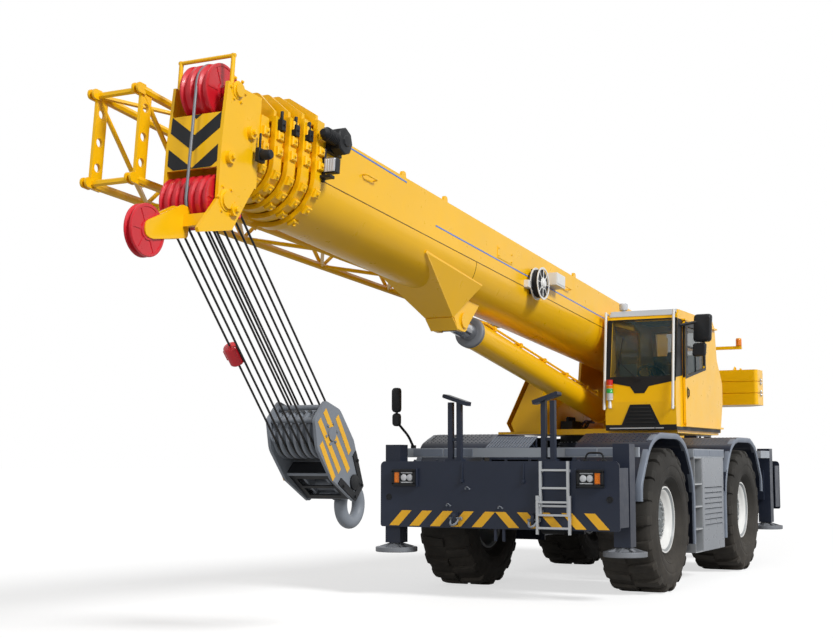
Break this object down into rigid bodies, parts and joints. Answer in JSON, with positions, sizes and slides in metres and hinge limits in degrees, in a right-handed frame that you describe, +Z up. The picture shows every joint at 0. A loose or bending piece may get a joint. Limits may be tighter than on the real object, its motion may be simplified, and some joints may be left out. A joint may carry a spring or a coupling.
{
  "type": "rough terrain crane",
  "caption": "Two-axle rough terrain crane with a side cab on a slewing turntable, telescopic boom, stowed lattice jib, hook block, counterweight and outriggers.",
  "frame": {"origin": "on the ground, below the slewing axis, 0.3 m behind the middle of the wheelbase", "axes": "+X forward along the stowed boom, +Y to the cab side, +Z up"},
  "size_m": [15.8676, 3.6321, 5.1265],
  "materials": {
    "slate_paint": "satin",
    "grey_paint": "satin",
    "dark_iron": "rough",
    "silver_paint": "satin",
    "lamp_lens": "gloss",
    "black_plastic": "matte",
    "white_paint": "satin",
    "tyre_rubber": "matte",
    "bright_steel": "bright",
    "yellow_paint": "gloss",
    "window_glass": "clear",
    "red_plastic": "satin",
    "grey_cast": "satin",
    "rope_steel": "greasy"
  },
  "bodies": {
    "carrier": {"chassis": "slate_paint", "slew_ring": "dark_iron", "outrigger_box_front": "slate_paint", "outrigger_box_rear": "slate_paint", "bumpers": "slate_paint", "deck": "grey_paint", "fenders": "slate_paint", "side_boxes": "slate_paint", "ladders": "silver_paint", "boom_rest": "slate_paint", "engine_block": "dark_iron", "engine_hood": "slate_paint", "lamps": "lamp_lens", "carrier_mirror": "black_plastic", "axle_front": "dark_iron", "axle_rear": "dark_iron"},
    "superstructure": {"turntable": "yellow_paint", "counterweight": "yellow_paint", "winches": "dark_iron", "oil_tank": "yellow_paint", "cab_body": "yellow_paint", "cab_glass": "window_glass", "cab_seat": "black_plastic", "cab_console": "black_plastic", "cab_fittings": "silver_paint"},
    "door": {"cab_door": "yellow_paint", "door_glass": "window_glass"},
    "boom": {"boom_base": "yellow_paint", "jib": "yellow_paint"},
    "section_2": {"boom_section_2": "yellow_paint"},
    "section_3": {"boom_section_3": "yellow_paint"},
    "section_4": {"boom_section_4": "yellow_paint"},
    "section_5": {"boom_section_5": "yellow_paint", "boom_head": "yellow_paint", "head_sheaves": "red_plastic"},
    "lift_cylinder_barrel": {"lift_barrel": "yellow_paint"},
    "lift_cylinder_rod": {"lift_rod": "bright_steel"},
    "hook": {"hook_block": "grey_cast", "hoist_falls": "rope_steel"},
    "knuckle_fl": {"knuckle_fl": "dark_iron"},
    "wheel_fl": {"rim_fl": "white_paint", "tyre_fl": "tyre_rubber"},
    "knuckle_fr": {"knuckle_fr": "dark_iron"},
    "wheel_fr": {"rim_fr": "white_paint", "tyre_fr": "tyre_rubber"},
    "knuckle_rl": {"knuckle_rl": "dark_iron"},
    "wheel_rl": {"rim_rl": "white_paint", "tyre_rl": "tyre_rubber"},
    "knuckle_rr": {"knuckle_rr": "dark_iron"},
    "wheel_rr": {"rim_rr": "white_paint", "tyre_rr": "tyre_rubber"},
    "outrigger_fl": {"outrigger_beam_fl": "slate_paint"},
    "jack_fl": {"jack_fl": "bright_steel"},
    "outrigger_fr": {"outrigger_beam_fr": "slate_paint"},
    "jack_fr": {"jack_fr": "bright_steel"},
    "outrigger_rl": {"outrigger_beam_rl": "slate_paint"},
    "jack_rl": {"jack_rl": "bright_steel"},
    "outrigger_rr": {"outrigger_beam_rr": "slate_paint"},
    "jack_rr": {"jack_rr": "bright_steel"}
  },
  "joints": [
    {"name": "steer_fl", "type": "hinge", "parent": "carrier", "child": "knuckle_fl", "pos_m": [2.34, 0.9, 0.935], "axis": [0, 0, 1], "range_deg": [-22, 22]},
    {"name": "wheel_spin_fl", "type": "hinge", "parent": "knuckle_fl", "child": "wheel_fl", "pos_m": [2.34, 1.25, 0.935], "axis": [0, 1, 0], "continuous": true},
    {"name": "steer_fr", "type": "hinge", "parent": "carrier", "child": "knuckle_fr", "pos_m": [2.34, -0.9, 0.935], "axis": [0, 0, 1], "range_deg": [-22, 22]},
    {"name": "wheel_spin_fr", "type": "hinge", "parent": "knuckle_fr", "child": "wheel_fr", "pos_m": [2.34, -1.25, 0.935], "axis": [0, 1, 0], "continuous": true},
    {"name": "steer_rl", "type": "hinge", "parent": "carrier", "child": "knuckle_rl", "pos_m": [-1.74, 0.9, 0.935], "axis": [0, 0, -1], "range_deg": [-22, 22]},
    {"name": "wheel_spin_rl", "type": "hinge", "parent": "knuckle_rl", "child": "wheel_rl", "pos_m": [-1.74, 1.25, 0.935], "axis": [0, 1, 0], "continuous": true},
    {"name": "steer_rr", "type": "hinge", "parent": "carrier", "child": "knuckle_rr", "pos_m": [-1.74, -0.9, 0.935], "axis": [0, 0, -1], "range_deg": [-22, 22]},
    {"name": "wheel_spin_rr", "type": "hinge", "parent": "knuckle_rr", "child": "wheel_rr", "pos_m": [-1.74, -1.25, 0.935], "axis": [0, 1, 0], "continuous": true},
    {"name": "slew", "type": "hinge", "parent": "carrier", "child": "superstructure", "pos_m": [0, 0, 2.07], "axis": [0, 0, 1], "continuous": true},
    {"name": "door_slide", "type": "slide", "parent": "superstructure", "child": "door", "axis": [-1, 0, 0], "range_m": [0, 0.9]},
    {"name": "boom_luff", "type": "hinge", "parent": "superstructure", "child": "boom", "pos_m": [-1.3, 0, 2.99], "axis": [0, -1, 0], "range_deg": [-5, 75]},
    {"name": "telescope_2", "type": "slide", "parent": "boom", "child": "section_2", "axis": [0.9962, 0, 0.0872], "range_m": [0, 8.2]},
    {"name": "telescope_3", "type": "slide", "parent": "section_2", "child": "section_3", "axis": [0.9962, 0, 0.0872], "range_m": [0, 8.2]},
    {"name": "telescope_4", "type": "slide", "parent": "section_3", "child": "section_4", "axis": [0.9962, 0, 0.0872], "range_m": [0, 8.2]},
    {"name": "telescope_5", "type": "slide", "parent": "section_4", "child": "section_5", "axis": [0.9962, 0, 0.0872], "range_m": [0, 8.2]},
    {"name": "hook_swing", "type": "hinge", "parent": "section_5", "child": "hook", "pos_m": [10.51535, 0, 3.84603], "axis": [0, -1, 0], "range_deg": [-32.5, 2.63]},
    {"name": "lift_swing", "type": "hinge", "parent": "superstructure", "child": "lift_cylinder_barrel", "pos_m": [-0.4, 0, 2.29], "axis": [0, -1, 0], "range_deg": [-5.56, 76.44]},
    {"name": "lift_stroke", "type": "slide", "parent": "lift_cylinder_barrel", "child": "lift_cylinder_rod", "axis": [0.9861, 0, 0.1663], "range_m": [-0.1022, 1.3937]},
    {"name": "outrigger_slide_fl", "type": "slide", "parent": "carrier", "child": "outrigger_fl", "axis": [0, 1, 0], "range_m": [0, 2.05]},
    {"name": "jack_stroke_fl", "type": "slide", "parent": "outrigger_fl", "child": "jack_fl", "axis": [0, 0, -1], "range_m": [0, 0.75]},
    {"name": "outrigger_slide_fr", "type": "slide", "parent": "carrier", "child": "outrigger_fr", "axis": [0, -1, 0], "range_m": [0, 2.05]},
    {"name": "jack_stroke_fr", "type": "slide", "parent": "outrigger_fr", "child": "jack_fr", "axis": [0, 0, -1], "range_m": [0, 0.75]},
    {"name": "outrigger_slide_rl", "type": "slide", "parent": "carrier", "child": "outrigger_rl", "axis": [0, 1, 0], "range_m": [0, 2.05]},
    {"name": "jack_stroke_rl", "type": "slide", "parent": "outrigger_rl", "child": "jack_rl", "axis": [0, 0, -1], "range_m": [0, 0.75]},
    {"name": "outrigger_slide_rr", "type": "slide", "parent": "carrier", "child": "outrigger_rr", "axis": [0, -1, 0], "range_m": [0, 2.05]},
    {"name": "jack_stroke_rr", "type": "slide", "parent": "outrigger_rr", "child": "jack_rr", "axis": [0, 0, -1], "range_m": [0, 0.75]}
  ],
  "couplings": [
    {"joint": "steer_fr", "follows": "steer_fl", "ratio": 1},
    {"joint": "steer_rr", "follows": "steer_rl", "ratio": 1},
    {"joint": "telescope_3", "follows": "telescope_2", "ratio": 1},
    {"joint": "telescope_4", "follows": "telescope_2", "ratio": 1},
    {"joint": "telescope_5", "follows": "telescope_2", "ratio": 1},
    {"joint": "hook_swing", "follows": "boom_luff", "ratio": -0.4267},
    {"joint": "lift_swing", "follows": "boom_luff", "ratio": 1.0125},
    {"joint": "lift_stroke", "follows": "boom_luff", "m_per_rad": 1.0571}
  ]
}
